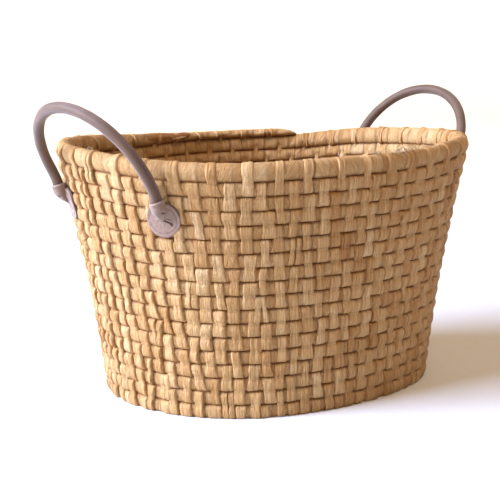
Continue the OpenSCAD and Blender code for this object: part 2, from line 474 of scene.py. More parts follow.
LEATHER = leather_material("leather", srgb(104, 79, 62), srgb(129, 103, 84), srgb(156, 129, 109),
                           srgb(58, 34, 30))
# Painted shade: the handles are the same leather as the tabs, given darker, warmer colours for the shade
# and bounced light they show.
SHADED_HANDLE_LEATHER = leather_material("handle_leather_painted_shade", srgb(74, 50, 31), srgb(95, 68, 44), srgb(121, 93, 66),
                                  srgb(58, 34, 30))
LINING = leather_material("lining_leather", srgb(78, 50, 38), srgb(100, 68, 52), srgb(124, 90, 72),
                          srgb(60, 36, 28))
THREAD = thread_material("thread", srgb(116, 66, 62), srgb(152, 100, 94), (3, 1.2, 0))
ROPE = thread_material("rope", srgb(150, 120, 84), srgb(206, 180, 140), (1.2, 0.8, 0))

# ---- the coil
SECTION_POINTS = 26
STEPS_PER_STRAP = 12
HALF_COURSE = 0.529  # half the height of the bundle in courses, so that the courses press together
SQUARENESS = 2.4  # of the bundle's section, where 2 is round
RIM_POWER = 0.95  # the same for the rim, as a power of cosine and sine: nearly round
RIM_TAPER = 0.022  # share of the last turn over which the rim runs out
RECESS = 0.9  # how far the bundle lies behind the straps
LUMPY_RECESS = 1.3  # how much further it does round the left end


def course_face(place):
    """How far the outer face of a course lies behind its crest, at a share of its height."""
    height = np.clip(np.abs(2 * place - 1) * 0.945, 0, 1)
    return WALL / 2 * ((1 - height ** SQUARENESS) ** (1 / SQUARENESS) - 1)


def superellipse(angle, power=2 / SQUARENESS):
    """Cosine and sine squared off, as the section of a pressed bundle is."""
    cosine, sine = np.cos(angle), np.sin(angle)
    return np.sign(cosine) * np.abs(cosine) ** power, np.sign(sine) * np.abs(sine) ** power


def lumpiness(share):
    """The weave is looser round the left end, which falls half way round."""
    return bell(share % 1, 0.49, 0.075)


def coil_piece(turn, point, thick, size, name, node):
    """One turn of the leaf bundle, wrapped in leaf, with closed ends. size is its length against
    that of a wall turn. Arrays here go along the turn in rows and round its section in columns."""
    on_wall = point is wall_point
    end = on_wall and turn == WALL_TURNS
    rng = np.random.default_rng(100 + turn + 50 * (not on_wall))
    straps = STRAPS_PER_TURN * size
    steps = int(straps * STEPS_PER_STRAP)
    fraction = np.concatenate([[0], np.arange(steps + 1) / steps, [1]])[:, None]
    places = np.minimum(turn + fraction, turn + 1 - 1e-6)
    # The section starts at the bottom, so that the start of the leaf's pattern hides in a valley.
    angle = np.linspace(-math.pi / 2, 1.5 * math.pi, SECTION_POINTS, endpoint=False)
    outward, upright = superellipse(angle, RIM_POWER) if end else superellipse(angle)
    outward = np.where(outward < 0, -np.abs(outward) ** 1.25, outward)
    face, inner = np.clip(outward, 0, 1), np.clip(-outward, 0, 1)
    tail = np.clip((fraction - 1 + RIM_TAPER) / RIM_TAPER, 0, 1) if end else 0 * fraction
    full = np.sqrt(np.maximum(1 - tail ** 2, 0.02))
    full[[0, -1]] = 0
    swell = np.convolve(np.tile(rng.normal(0, 0.5, len(places)), 3), np.hanning(11) / 5, "same")
    swell = swell[len(places):2 * len(places), None]
    # Straps pull the bundle in where they cross it, at a beat of 1 from below and -1 from above.
    beat = np.cos(2 * math.pi * (straps * fraction - (STRAP_PHASE if on_wall else 0) + straps * turn))
    low, high = np.clip(-upright, 0, 1) ** 0.5, np.clip(upright, 0, 1) ** 0.5
    pinch = low * np.clip(beat, 0, 1) ** 3 + high * np.clip(-beat, 0, 1) ** 3
    pillow = (0.5 - 0.5 * beat) * end
    height = HALF_COURSE * upright * full * (1 + 0.055 * pillow)
    loose = lumpiness(SEAM - places) * on_wall
    recess = RECESS - 1.2 * pillow + LUMPY_RECESS * loose
    drop = 0.5 + 0.45 * (1 - np.where(fraction == 1, full[-2], full)) - height
    corner = smooth((np.abs(upright) - 0.4) / 0.6) * face * (0.0 if end else 0.6)
    pulled = corner * np.abs(beat) ** 2 * (1.6 + 3.0 * loose)
    narrow = np.abs(beat) * face
    bulge = swell - pulled - 0.6 * narrow - 3.6 * inner * pinch - recess * face
    out = (thick / 2 + bulge) * outward * full - thick / 2
    along = thick * angle / 1.5
    patch = np.floor(2 * straps * fraction + 0.5).astype(int)
    slants = rng.normal(0, 0.35, patch.max() + 2)
    tones = rng.normal(0.5, 0.15, patch.max() + 2)
    leaf = stack(30.0 * straps * fraction + slants[patch] * along, along, 3.7 * turn + (patch % 7) * 5)
    # Painted shade: the top and bottom of each course, in the valleys between courses, are darkened; on
    # the rim only the underside.
    depth = np.clip((np.abs(upright) - 0.62) / 0.38, 0, 1)
    if end:
        depth = depth * (upright < 0)
    piece = grid_piece(name, LEAF, point(places, 0, drop, out), leaf, tones[patch], depth)
    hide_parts(node)
    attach(piece, "basket")


for turn in range(TURNS):
    rim = turn == WALL_TURNS
    coil_piece(turn, wall_point, RIM_WALL if rim else WALL, 1,
               "rim_turn" if rim else f"wall_turn_{turn + 1}", WALL_NODES[turn])


def base_round(turn):
    """Length of a base turn against that of the lowest wall turn."""
    radius = CORE_RADIUS + BASE_PITCH * (turn + 0.5)
    return oval_length(BASE_SPREAD, radius) / perimeter_at(LEVELS[0])


for turn in range(BASE_TURNS):
    coil_piece(turn, base_point, BASE_TOP - BASE_FACE, base_round(turn),
               f"base_turn_{turn + 1}", f"base_coil_{turn + 1}")

# ---- straps on the outside
# Points across a strap, and along it from valley to valley over two courses.
ACROSS = 13
DOWN = 25
# Places where straps have frayed on the rim: share of its turn, spread, number and length of fibres.
FRAYED_PLACES = [(0.350, 0.009, 30, 12), (0.328, 0.004, 10, 9), (0.408, 0.0012, 3, 17),
                 (0.372, 0.006, 10, 10), (0.620, 0.003, 3, 6), (0.09, 0.004, 4, 6)]


def across_leaf(count):
    """Places across a strip of leaf from -1 to 1, closer together towards its edges."""
    return np.sin(np.linspace(-1, 1, count) * math.pi / 2)[:, None]


def leaf_of(x, t, rng):
    """Where a strap's fibres lie, starting somewhere else on each strap."""
    return stack(x + 40 * rng.random(), t * PITCH + 900 * rng.random(), rng.random() * 50)


def strap_line(t, turn, point):
    """The line that a strap follows, from the valley above its course down over two courses: how far
    out it lies, how many courses down, and the direction that faces out of it there."""
    on_wall = point is wall_point
    out = np.maximum(course_face(np.clip(t, 0, 2) % 1), -6.0 + 5.3 * bell(t, 1, 0.20))
    drop, face_out, face_drop = t + 0, 1 + 0 * t, 0 * t
    if on_wall and turn == WALL_TURNS:
        cosine, sine = superellipse((0.5 - t) * math.pi, RIM_POWER)
        over = t < 0.5
        out = np.where(over, RIM_WALL / 2 * (cosine - 1), out)
        drop = np.where(over, 0.5 - HALF_COURSE * sine, drop)
        face_out = np.where(over, cosine, face_out)
        face_drop = np.where(over, -sine / RIM_HEIGHT, face_drop)
    if on_wall and turn < 2:
        cosine, sine = superellipse((t - turn - 0.5) * math.pi)
        under = t > turn + 0.5
        out = np.where(under, WALL / 2 * (cosine - 1), out)
        drop = np.where(under, turn + 0.5 + HALF_COURSE * sine, drop)
        face_out = np.where(under, cosine, face_out)
        face_drop = np.where(under, sine / PITCH, face_drop)
    return out, drop, face_out, face_drop


def add_strap(gather, place, rng, turn, point, width=None, shift=0.0):
    """A leaf strap that starts in the valley above a course and ends two courses down, or, on the
    rim, starts inside it. Rows of the arrays go across the strap and columns down it."""
    on_wall = point is wall_point
    rim = on_wall and turn == WALL_TURNS
    width = width or float(np.clip(rng.normal(11.6, 1.7), 7.8, 15.5))
    lumpy = float(lumpiness(SEAM - place)) if on_wall else 0.0
    width *= 1 - 0.16 * lumpy
    across = across_leaf(ACROSS)
    start, stop = (-0.95 if rim else -0.02), (turn + 1.42 if on_wall and turn < 2 else 2.02)
    t = np.linspace(start, stop, DOWN + (12 if rim else 0))
    waist = 1 - rng.uniform(0.0, 0.20) * bell(t, rng.uniform(0.8, 1.2), 0.35)
    flare = 1 + rng.uniform(-0.10, 0.16) * (t - 1)
    half = width / 2 * waist * flare * (1 - 0.45 * smooth((-0.1 - t) / 0.5))
    slant = rng.normal(0, 1.0) * (t - 1) + rng.normal(0, 0.4) * np.sin(t * 2.4 + rng.uniform(0, 6))
    ragged = rng.normal(0, 0.16, (2, len(t)))
    edge = np.where(across > 0, ragged[0], ragged[1]) * np.abs(across) ** 4
    x = across * half + slant + shift + edge
    t = t + 0 * x
    lift = rng.uniform(0.6, 1.0) if rim else rng.uniform(0.9, 1.5)
    lean = rng.normal(-0.15, 0.35 + 0.5 * lumpy) * across
    crown = 1 - np.abs(across) ** 14
    ridges = rng.normal(0, 0.25) * across + rng.normal(0.1, 0.25) * (1 - across ** 2)
    for ridge in range(7):
        middle = rng.uniform(-0.9, 0.9) + rng.normal(0, 0.12) * (t - 1)
        ridges = ridges + rng.uniform(-0.42, 0.34) * bell(across, middle, rng.uniform(0.05, 0.14))
    if rng.random() < 0.4:
        fold = rng.choice([-0.86, 0.86])
        wave = 0.7 + 0.3 * np.sin(t * rng.uniform(4, 9) + rng.uniform(0, 6))
        ridges = ridges + rng.uniform(0.3, 0.9) * wave * bell(across, fold, 0.12)
    tuck = smooth(np.minimum(t - start, stop - t) / 0.10)
    height = (lift + lean + ridges) * crown * (0.35 + 0.65 * tuck) - 1.9 * (1 - crown) - 1.5 * (1 - tuck)
    out, drop, face_out, face_drop = strap_line(t, turn, point)
    points = point(place, x, drop + height * face_drop, out + height * face_out)
    leaf = leaf_of(x, t, rng)
    tone = float(np.clip(rng.normal(0.5, 0.17), 0, 1))
    if rng.random() < 0.012:
        tone = -0.25
    # Painted shade: the strap's ends, where they tuck into the valleys, and its side edges are darkened.
    depth = 1 - smooth((stop - t) / 0.09)
    if not rim:
        depth = np.maximum(depth, 1 - smooth((t - start) / 0.09))
    depth = np.maximum(depth, 0.45 * (1 - crown))
    gather.add(points, leaf, tone, depth)


def add_post(gather, place, rng, point, thick):
    """The narrow stitch that crosses a valley on the inside."""
    across = across_leaf(7)
    t = np.linspace(0.50, 1.50, 13)
    apart = np.abs(t - 1) / 0.5
    x = across * rng.uniform(2.4, 3.6) * (1 + 0.9 * apart ** 2) + rng.normal(0, 0.6)
    t = t + 0 * x
    inside = -thick + 2.0 - 0.6 * apart ** 2 + 1.2 * across ** 4 + rng.normal(0, 0.15)
    points = point(place, x, t, inside)[:, ::-1]
    gather.add(points, leaf_of(x, t, rng), rng.normal(0.5, 0.12), 0.0)


def strap_piece(gather, name):
    piece = gather.piece(name, LEAF)
    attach(piece, "basket")


def wall_straps():
    rng = np.random.default_rng(7)
    rows = [Gather() for turn in range(TURNS)]
    inside = [Gather() for turn in range(TURNS)]
    for index in range(int(STRAPS_PER_TURN * TURNS)):
        even = (index + STRAP_PHASE) / STRAPS_PER_TURN
        place = even + rng.normal(0, 0.06) / STRAPS_PER_TURN
        turn = min(int(even), TURNS - 1)
        if turn + 1 - place < RIM_TAPER / 2 and turn == WALL_TURNS:
            continue
        if rng.random() < 0.07:
            for side in (-1, 1):
                add_strap(rows[turn], place, rng, turn, wall_point, rng.uniform(5.5, 6.8), side * 3.2)
        else:
            add_strap(rows[turn], place, rng, turn, wall_point)
        if turn > 0:
            add_post(inside[turn], even, rng, wall_point, WALL)
    for turn in range(TURNS):
        label = "rim" if turn == WALL_TURNS else f"wall_{turn + 1}"
        strap_piece(rows[turn], f"{label}_straps")
        if turn > 0:
            strap_piece(inside[turn], f"{label}_inner_stitches")


def base_straps():
    rng = np.random.default_rng(11)
    for turn in range(1, BASE_TURNS):
        below, above = Gather(), Gather()
        count = int(STRAPS_PER_TURN * base_round(turn))
        for index in range(count):
            place = turn + (index + 0.5 * (turn % 2)) / count
            add_strap(below, place, rng, turn, base_point)
            add_post(above, place, rng, base_point, BASE_TOP - BASE_FACE)
        strap_piece(below, f"base_{turn + 1}_straps")
        strap_piece(above, f"base_{turn + 1}_inner_stitches")


def core_piece():
    """The flat start of the coil."""
    steps, rings = 96, 15
    share = np.arange(steps)[:, None] / steps
    angle = np.linspace(-math.pi / 2, math.pi / 2, rings)[None, :]
    reach = np.maximum(np.cos(angle) ** 0.6, 0.001) + 0 * share
    half = (BASE_TOP - BASE_FACE) / 2
    x, y = oval(share + 0 * reach, BASE_SPREAD * reach, (CORE_RADIUS + 0.3) * reach)
    z = BASE_FACE + half + half * np.sign(np.sin(angle)) * np.abs(np.sin(angle)) ** 0.7 + 0 * reach
    points = stack(x, y, z).transpose(1, 0, 2)
    piece = grid_piece("base_core_wrap", LEAF, points, points, 0.5, 0.0)
    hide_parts("base_core")
    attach(piece, "basket")


def rim_skin(along, around, out):
    """A point on the skin of the rim: along is a share of the last turn, around an angle over the
    rim from its outer face to its inner one, and out how far it stands off."""
    cosine, sine = superellipse(around, RIM_POWER)
    height = HALF_COURSE * sine + out * sine / RIM_HEIGHT
    depth = (RIM_WALL / 2 + out) * cosine - RIM_WALL / 2
    return wall_point(WALL_TURNS + along, 0, 0.5 - height, depth)


def husk_scrap():
    """A torn scrap of brown husk left on the far side of the rim."""
    rng = np.random.default_rng(5)
    along = np.linspace(0.831, 0.884, 64)[:, None]
    share = (along - along[0]) / (along[-1] - along[0])
    edge = np.convolve(rng.normal(0, 1, 76), np.hanning(7) / 3, "same")[6:-6, None]
    peak = bell(share, 0.47, 0.05)
    top = 1.30 + 0.25 * edge - 0.45 * peak
    low = 3.30 + 0.30 * np.convolve(rng.normal(0, 1, 76), np.hanning(9) / 4, "same")[6:-6, None]
    ends = np.clip(np.minimum(share, 1 - share) / 0.06, 0.03, 1) ** 0.5
    v = np.linspace(-1, 1, 13)
    around = (top + low) / 2 + (low - top) / 2 * ends * v
    out = 1.0 + 0.35 * np.sin(9 * share + 2 * v) + 0.25 * edge - 0.7 * v ** 8
    out = out + 2.4 * peak * np.clip(-v, 0, 1) ** 2
    gather = Gather()
    gather.add(rim_skin(along, around, out), stack(RIM_WALL / 2 * around, 60 * share, 8),
               -0.25 + 0.3 * np.sin(5 * share + 1.4), np.clip(0.40 + 0.3 * edge - 0.3 * v, 0.05, 0.9))
    for chip in range(3):
        start = 0.861 + 0.0045 * chip
        along = np.linspace(start, start + rng.uniform(0.006, 0.012), 9)[:, None]
        around = (3.12 - 0.12 * chip + np.array([0.0, 0.09, 0.18]))[None, :] + rng.normal(0, 0.02, (9, 1))
        gather.add(rim_skin(along, around, 1.9), stack(around * 7, along * 900, 0), 1.5, 0.0)
    strap_piece(gather, "rim_husk_scrap")


RIM_ROUND = 1280.0  # length of the rim turn


def loose_fibre(gather, rng, along, around, length, curl, tone):
    """A thin fibre frayed from a strap: it lifts off the rim, curls and tapers."""
    steps = 14
    u = np.linspace(0, 1, steps)
    lead = rng.choice([-1, 1]) * rng.uniform(0.35, 1.0) * length / RIM_ROUND
    sweep = rng.uniform(-0.9, 0.9) * length / 18
    lift = 1.1 + curl * np.sin(math.pi * u * rng.uniform(0.6, 1.0)) * length / 2
    line = rim_skin(along + lead * u, around + sweep * u + 0.10 * np.sin(5 * u), lift)
    way = unit_rows(np.gradient(line, axis=0))
    side = unit_rows(np.cross(way, [0.3, 0.2, 0.93]))
    over = np.cross(side, way)
    thick = rng.uniform(0.34, 0.58) * (1 - 0.75 * u)
    angle = circle(6)
    points = (line[:, None, :] + (thick[:, None] * np.cos(angle))[..., None] * side[:, None, :]
              + (0.5 * thick[:, None] * np.sin(angle))[..., None] * over[:, None, :])
    gather.add(points, stack(angle, length * u[:, None], 9.0), tone, 0.0, around=True)


def loose_fibres():
    """Frayed ends of straps along the top of the front rim, and a few elsewhere."""
    rng = np.random.default_rng(17)
    gather = Gather()
    for middle, spread, count, length in FRAYED_PLACES:
        for index in range(count):
            loose_fibre(gather, rng, middle + rng.normal(0, spread), rng.uniform(1.0, 1.8),
                        length * rng.uniform(0.5, 1.3), rng.uniform(0.2, 1.0), rng.uniform(0.8, 2.2))
    strap_piece(gather, "rim_loose_fibres")


wall_straps()
base_straps()
core_piece()
husk_scrap()
loose_fibres()

# ---- leather handles
# The design's numbers: directions of the tabs from the long axis, in degrees, and lengths.
WIDE_DIRECTION = 34.0
NARROW_DIRECTION = -19.0
TAB_HEIGHT = 195.5
MOUTH = 20.0  # of the sleeves, above the middle of their tabs
BEND_Z = 26.0  # the hinge, above the middle of the tabs
HANDLE_LEAN = math.radians(31)
LEG_LENGTH = 16.0
COVER_FACE = 2.9
TUBE_OFFSET = 8.6
TUBE_RADIUS = 5.3
ROPE_RADIUS = 3.6
SLEEVE_RADIUS = 6.8
TAB_RADIUS = 17.0
STITCH_RADIUS = 13.4
SEAM_ANGLE = math.radians(6)
# Only here: the tabs are a little narrower than high and bend with the wall.
TAB_NARROWING = 0.955
TAB_CURVE = 300.0  # twice the radius of the bend
TAB_STITCHES = 26
STITCH_GAP = 36  # degrees from straight up to where the stitches start, beside the sleeve
TAB_SHARE_SHIFT = 0.012  # moves the place whose rise a tab takes
UPWARD = np.array([0, 0, 1.0])
ENDS = ("left", "right")
SIDES = ("front", "back")
JOINTS = {joint["name"]: joint for joint in frame["joints"]}


def side_point(direction, z):
    """A point on the wall's outer face, in a direction round the right end."""
    spread, radius = size_at(z)
    return np.array([7 * spread + radius * math.cos(direction), radius * math.sin(direction), z])


def tab_frame(end, side):
    """Origin of a tab on the wall, and the directions out of the wall, across it and up it."""
    wide = (end == "left") == (side == "front")
    direction = math.radians(WIDE_DIRECTION if wide else NARROW_DIRECTION)
    origin = side_point(direction, TAB_HEIGHT)
    up = unit(side_point(direction, TAB_HEIGHT + MOUTH) - origin)
    facing = np.array([math.cos(direction), math.sin(direction), 0])
    out = unit(facing - facing @ up * up)
    turn = np.array([-1, -1, 1]) if end == "left" else np.ones(3)
    origin = origin * turn
    shift = TAB_SHARE_SHIFT * (-1 if origin[0] * origin[1] > 0 else 1)
    share = (math.atan2(origin[1], origin[0]) / (2 * math.pi) + shift) % 1
    lift = UPWARD * rise(share, TAB_HEIGHT)
    return origin + lift, out * turn, np.cross(up, out) * turn, up * turn


def tab_rng(seed, end, side):
    return np.random.default_rng(seed + 2 * ENDS.index(end) + SIDES.index(side))


def in_tab(place, out, across, up):
    """Points of a tab from their three distances in its frame."""
    origin, to_out, to_across, to_up = place
    out, across, up = np.broadcast_arrays(out, across, up)
    return origin + out[..., None] * to_out + across[..., None] * to_across + up[..., None] * to_up


def hermite(start, start_way, finish, finish_way, steps):
    """A smooth curve between two points that leaves and arrives in given directions."""
    s = np.linspace(0, 1, steps, endpoint=False)[:, None]
    return ((2 * s ** 3 - 3 * s ** 2 + 1) * start + (s ** 3 - 2 * s ** 2 + s) * start_way
            + (3 * s ** 2 - 2 * s ** 3) * finish + (s ** 3 - s ** 2) * finish_way)


def handle_line(end, spacing):
    """Evenly spaced points along the middle of a handle, from its back tab to its front one, with
    the directions along it, outwards in its plane and square to its plane."""
    joint = JOINTS[f"{end}_handle_lean"]
    middle = np.array(joint["pos_m"]) / MM
    backward = unit(np.array(joint["axis"]))
    first, last = ("back", "front") if end == "right" else ("front", "back")
    away = np.cross(backward, UPWARD)
    rising = away * math.sin(HANDLE_LEAN) + UPWARD * math.cos(HANDLE_LEAN)
    square = away * math.cos(HANDLE_LEAN) - UPWARD * math.sin(HANDLE_LEAN)
    places = {side: tab_frame(end, side) for side in SIDES}
    feet = {side: places[side][0] + TUBE_OFFSET * places[side][1] for side in SIDES}
    lifts = {side: feet[side][2] + BEND_Z * places[side][3][2] - middle[2] for side in SIDES}
    halves = []
    for side, sign in ((first, 1), (last, -1)):
        up, foot = places[side][3], feet[side]
        radius = abs((foot + BEND_Z * up - middle) @ backward)
        straight = foot + np.linspace(15, MOUTH - 1, 4, endpoint=False)[:, None] * up
        landing = middle + lifts[side] * UPWARD + sign * radius * backward + 10 * rising
        curve = hermite(foot + (MOUTH - 1) * up, 17 * up, landing, 17 * rising, 12)
        leg = landing + np.linspace(0, LEG_LENGTH - 10, 4, endpoint=False)[:, None] * rising
        turn = np.linspace(0, math.pi / 2, 40)[:, None]
        share = np.cos(turn)
        level = (1 + share) / 2 * lifts[side] + (1 - share) / 2 * lifts[last if sign > 0 else first]
        arch = middle + level * UPWARD + rising * (LEG_LENGTH + radius * np.sin(turn))
        arch = arch + sign * backward * radius * share
        halves.append(np.concatenate([straight, curve, leg, arch]))
    line = np.concatenate([halves[0], halves[1][-2::-1]])
    for smoothing in range(3):
        line[1:-1] = (line[:-2] + 2 * line[1:-1] + line[2:]) / 4
    lengths = np.concatenate([[0], np.cumsum(np.linalg.norm(np.diff(line, axis=0), axis=1))])
    count = int(lengths[-1] / spacing)
    even = np.linspace(0, lengths[-1], count + 1)
    line = stack(*(np.interp(even, lengths, line[:, axis]) for axis in range(3)))
    along = unit_rows(np.gradient(line, axis=0))
    outward = unit_rows(np.cross(along, square))
    return line, even, along, outward, np.cross(outward, along)


def bend_with_handle(piece):
    """Bakes the piece's placing into its mesh."""
    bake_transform(piece)


def tube_points(line, outward, square, radius, angle):
    """Sections round a line; radius may differ from point to point."""
    return (line[:, None, :] + (radius * np.cos(angle))[..., None] * outward[:, None, :]
            + (radius * np.sin(angle))[..., None] * square[:, None, :])


def handle_skin(end):
    """The rolled leather tube, lapped along its seam."""
    rng = np.random.default_rng(31 + ENDS.index(end))
    line, even, along, outward, square = handle_line(end, 1.5)
    angle = SEAM_ANGLE + np.concatenate([[0.0, 0.05], np.linspace(0.16, 2 * math.pi - 0.04, 34)])
    turn = (angle - SEAM_ANGLE) / (2 * math.pi)
    away = np.minimum(even, even[-1] - even)
    lap = 0.38 * smooth((away - 12) / 8)[:, None]
    step = np.where(turn < 0.005, -0.7, np.where(turn < 0.012, -0.6, -0.45 + 1.25 * turn ** 1.6))[None, :]
    low = np.convolve(rng.normal(0, 1, len(even) + 24), np.hanning(17) / 8, "same")[12:-12]
    flat = np.convolve(rng.normal(0, 1, len(even) + 24), np.hanning(25) / 12, "same")[12:-12]
    wrinkle = np.zeros((len(even), len(angle)))
    for crease in range(26):
        where, facing = rng.uniform(14, even[-1] - 14), rng.uniform(0, 2 * math.pi)
        slope = rng.normal(0, 1.2)
        dent = bell(even[:, None] - where, slope * np.sin(angle - facing), rng.uniform(0.8, 1.6))
        wrinkle -= rng.uniform(0.05, 0.16) * dent * np.clip(np.cos(angle - facing), 0, 1) ** 2
    radius = TUBE_RADIUS - 0.05 + lap * step + 0.28 * low[:, None] + wrinkle
    radius = radius + 0.22 * flat[:, None] * np.cos(2 * angle)[None, :]
    radius = np.minimum(radius, TUBE_RADIUS + 0.35 + 0 * radius)
    radius = np.where(away[:, None] < 14, np.minimum(radius, TUBE_RADIUS), radius)
    points = tube_points(line, outward, square, radius, angle[None, :])
    leaf = stack(even[:, None], angle * TUBE_RADIUS, 0)
    edge = np.where((turn < 0.012) | (turn > 0.985), 0.35, 0.0)[None, :] * lap / 0.38
    # The tube takes the darker handle leather, whose darkness is painted shade.
    piece = grid_piece(f"{end}_handle_tube", SHADED_HANDLE_LEATHER, points, leaf, 0.42, edge)
    sides = [f"{end}_{side}_tube_end" for side in SIDES]
    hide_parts(f"{end}_handle_cover", *sides)
    bend_with_handle(piece)


def handle_core(end):
    """Three twisted strands inside the tube."""
    line, even, along, outward, square = handle_line(end, 2.6)
    angle = circle(18)[None, :]
    strand = np.abs(np.cos(1.5 * (angle - even[:, None] / 9)))
    radius = ROPE_RADIUS - 0.7 + 0.7 * strand
    radius[[0, -1]] = 0.3
    points = tube_points(line, outward, square, radius, angle)
    leaf = stack(even[:, None], angle, strand)
    # Painted shade in the grooves between the strands: depth is 1 - strand.
    piece = grid_piece(f"{end}_handle_core", ROPE, points, leaf, 0.6, 1 - strand)
    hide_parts(f"{end}_handle_rope")
    bend_with_handle(piece)


def grain(gather, middle, way, side, proud, length, thick):
    """One stitch: a short plump length of thread."""
    u = np.linspace(-1, 1, 7)[:, None]
    angle = circle(8)[None, :]
    bulk = thick / 2 * np.maximum(1 - u ** 4, 0.02) ** 0.5
    sag = -0.35 * thick * u ** 2
    points = (middle + (u * length / 2 + 0 * angle)[..., None] * way
              + (bulk * np.cos(angle))[..., None] * side + (bulk * np.sin(angle) + sag)[..., None] * proud)
    gather.add(points, stack(u * length, angle, 0), 0.5, 0.0, around=True)


def handle_seam(end):
    """Small stitches that hold the lap of the tube."""
    line, even, along, outward, square = handle_line(end, 3.1)
    angle = SEAM_ANGLE - 0.30
    gather = Gather()
    for index in range(len(even)):
        if min(even[index], even[-1] - even[index]) < 18:
            continue
        proud = math.cos(angle) * outward[index] + math.sin(angle) * square[index]
        grain(gather, line[index] + (TUBE_RADIUS + 0.22) * proud, along[index],
              np.cross(proud, along[index]), proud, 2.0, 0.55)
    piece = gather.piece(f"{end}_handle_seam", THREAD)
    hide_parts(f"{end}_handle_thread")
    bend_with_handle(piece)


# ---- tabs
PUCKER = (-0.6, 1.0)  # the point that the folds run to, across and up from the tab's middle


def ragged_round(angle, rng):
    """The outline of a hand-cut disc, against a true circle."""
    return 1 + sum(rng.normal(0, 0.0065) * np.cos(k * angle + rng.uniform(0, 6)) for k in range(2, 7))


def cover_height(across, up, flip, folds):
    """How far the leather of the tab stands out beyond its flat face, and the painted shade of its slit.
    It has folds round the pucker, rises beside the sleeve, and is slit below it."""
    y, z = across * flip - PUCKER[0], up - PUCKER[1]
    reach = np.hypot(y, z)
    angle = np.arctan2(z, y)
    height = 0 * y
    for middle, spread, size in folds:
        nearby = np.abs((angle - middle + math.pi) % (2 * math.pi) - math.pi)
        height += size * bell(nearby, 0, spread) * smooth(reach / 2.5) * bell(reach, 0, 7)
    height -= 0.9 * bell(reach, 0, 1.6)
    beside = np.clip(up / 8, 0, 1) * smooth((19 - up) / 5)
    width = 5.2
    height += 2.6 * beside * np.exp(-np.maximum(across * flip - width, 0) / 2.8) * (across * flip > 0)
    height += 0.9 * beside * np.exp(-np.maximum(-across * flip - width, 0) / 1.3) * (across * flip < 0)
    along = np.clip((y * 0.86 - z * 0.51) / 11.5, 0, 1)
    off = y * 0.51 + z * 0.86 + 1.3 * np.clip(along - 0.62, 0, 1) ** 2 * 6
    slit_width = 0.5 + 1.15 * along ** 1.5
    slit = np.exp(-(off / slit_width) ** 4) * (along > 0.02) * (along < 0.995)
    height += 0.8 * bell(off, 1.9, 1.2) * smooth(along / 0.3) * smooth((1 - along) / 0.3)
    height -= 1.5 * slit
    return height, slit


def tab_cover(end, side):
    """The outer layer of a tab, with its turned edge and the sleeve."""
    rng = tab_rng(71, end, side)
    flip = 1 if end == "left" else -1
    place = tab_frame(end, side)
    folds = [(rng.uniform(-math.pi, math.pi) * 0.1 + k * math.pi / 4.5 - 2.9,
              rng.uniform(0.12, 0.2), rng.uniform(0.35, 0.7)) for k in range(9)]
    rings, steps = 44, 144
    angle = circle(steps)[None, :]
    share = np.concatenate([np.linspace(0.004, 0.965, rings - 4), [0.985, 1.0, 1.0, 0.97]])[:, None]
    outline = TAB_RADIUS * ragged_round(angle, rng)
    across, up = TAB_NARROWING * share * outline * np.cos(angle), share * outline * np.sin(angle)
    height, slit = cover_height(across, up, flip, folds)
    shape = np.concatenate([np.zeros(rings - 4), [-0.06, -0.35, -1.0, -1.25]])[:, None]
    body = np.concatenate([np.ones(rings - 4), [0.8, 0.3, 0.0, 0.0]])[:, None]
    curl = -across ** 2 / TAB_CURVE + 0.5 * (share ** 8) * np.cos(3 * angle + rng.uniform(0, 6))
    wave = 0.12 * np.sin(across * 0.9 + rng.uniform(0, 6)) * np.sin(up * 0.7 + rng.uniform(0, 6))
    reach = np.hypot(across, up)
    seam = -0.35 * bell(reach, STITCH_RADIUS, 0.8) * (share < 1)
    out = COVER_FACE + shape + body * (height + wave + seam) + curl
    points = in_tab(place, out, across, up)
    leaf = stack(across, up, 20 * rng.random())
    edge = 0.25 * smooth((share - 0.955) / 0.03)
    gather = Gather()
    # Painted shade in the slit, the shadowed underside of a fold, and a darker colour at the turned edge.
    gather.add(points[:, ::-1], leaf[:, ::-1], 0.66, np.maximum(slit, edge)[:, ::-1], around=True)
    sleeve(gather, place, flip, rng)
    piece = gather.piece(f"{end}_{side}_tab", LEATHER)
    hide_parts(f"{end}_{side}_tab_cover")
    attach(piece, "basket")


